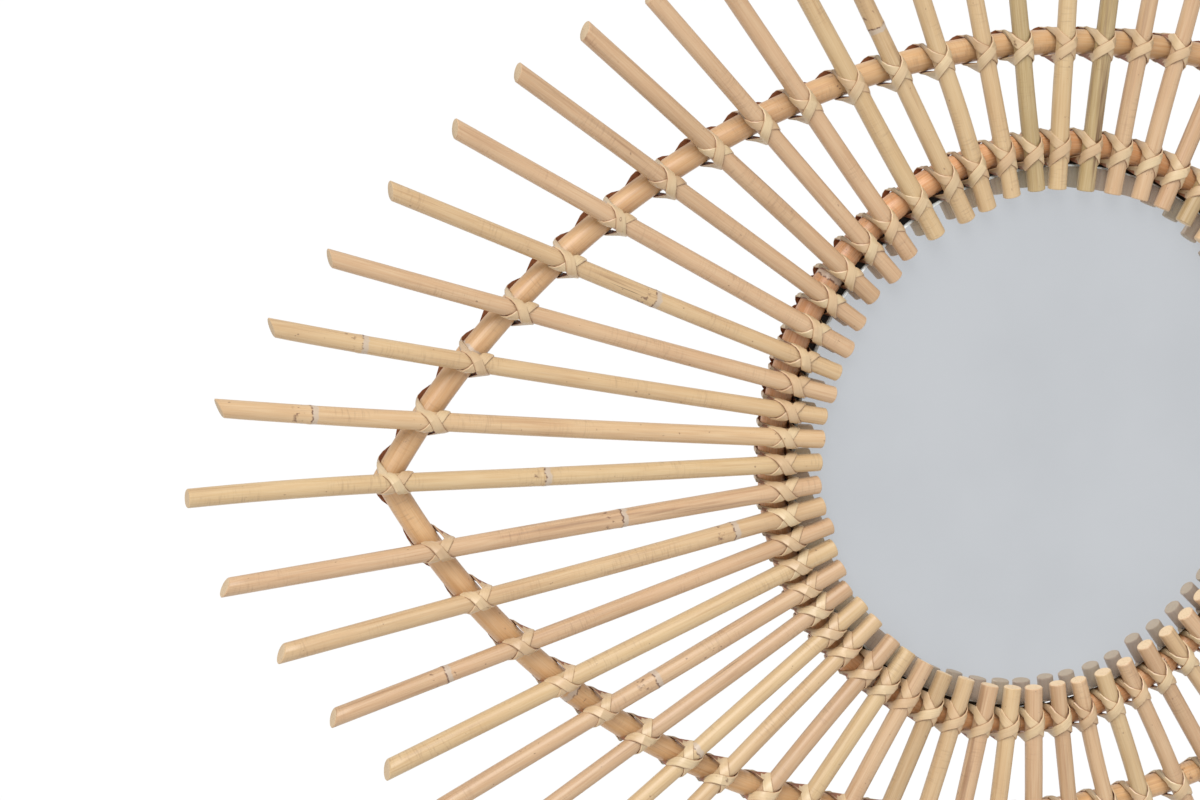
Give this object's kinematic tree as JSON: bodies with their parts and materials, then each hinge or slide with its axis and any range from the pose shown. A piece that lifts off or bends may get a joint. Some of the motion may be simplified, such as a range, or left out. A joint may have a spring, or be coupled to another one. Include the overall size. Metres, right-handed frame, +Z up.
{
  "type": "wall mirror",
  "caption": "Eye-shaped rattan wall mirror: round glass in a bent hoop, sticks fanning out over a pointed bowed frame, tied with cane.",
  "frame": {"origin": "the hanging point: middle of the hanger's face against the wall", "axes": "+X to the viewer's right along the eye's long axis, +Y into the wall so the glass faces -Y, +Z up"},
  "size_m": [0.785, 0.0323, 0.4941],
  "materials": {
    "rattan_stick": "natural rattan core, sanded and lightly lacquered, satin, straw to pinkish tan",
    "binding_cane": "split binding cane, glossy rounded outside, pale cream",
    "rattan_hoop": "thicker rattan pole, steam bent, satin, warm orange tan",
    "silvered_glass": "silvered float glass, polished",
    "stained_board": "fibreboard, stained dark, matt",
    "zinc_steel": "zinc-plated pressed steel strip"
  },
  "bodies": {
    "root": {"inner_hoop": "rattan_hoop", "upper_bow": "rattan_hoop", "lower_bow": "rattan_hoop", "mirror_glass": "silvered_glass", "backing_board": "stained_board", "sawtooth_hanger": "zinc_steel", "stick_pair_01": "rattan_stick", "stick_pair_02": "rattan_stick", "stick_pair_03": "rattan_stick", "stick_pair_04": "rattan_stick", "stick_pair_05": "rattan_stick", "stick_pair_06": "rattan_stick", "stick_pair_07": "rattan_stick", "stick_pair_08": "rattan_stick", "stick_pair_09": "rattan_stick", "stick_pair_10": "rattan_stick", "stick_pair_11": "rattan_stick", "stick_pair_12": "rattan_stick", "stick_pair_13": "rattan_stick", "stick_pair_14": "rattan_stick", "stick_pair_15": "rattan_stick", "stick_pair_16": "rattan_stick", "stick_pair_17": "rattan_stick", "stick_pair_18": "rattan_stick", "stick_pair_19": "rattan_stick", "stick_pair_20": "rattan_stick", "stick_pair_21": "rattan_stick", "stick_pair_22": "rattan_stick", "stick_pair_23": "rattan_stick", "stick_pair_24": "rattan_stick", "stick_pair_25": "rattan_stick", "stick_pair_26": "rattan_stick", "stick_pair_27": "rattan_stick", "stick_pair_28": "rattan_stick", "stick_pair_29": "rattan_stick", "stick_pair_30": "rattan_stick", "stick_pair_31": "rattan_stick"}
  },
  "joints": []
}
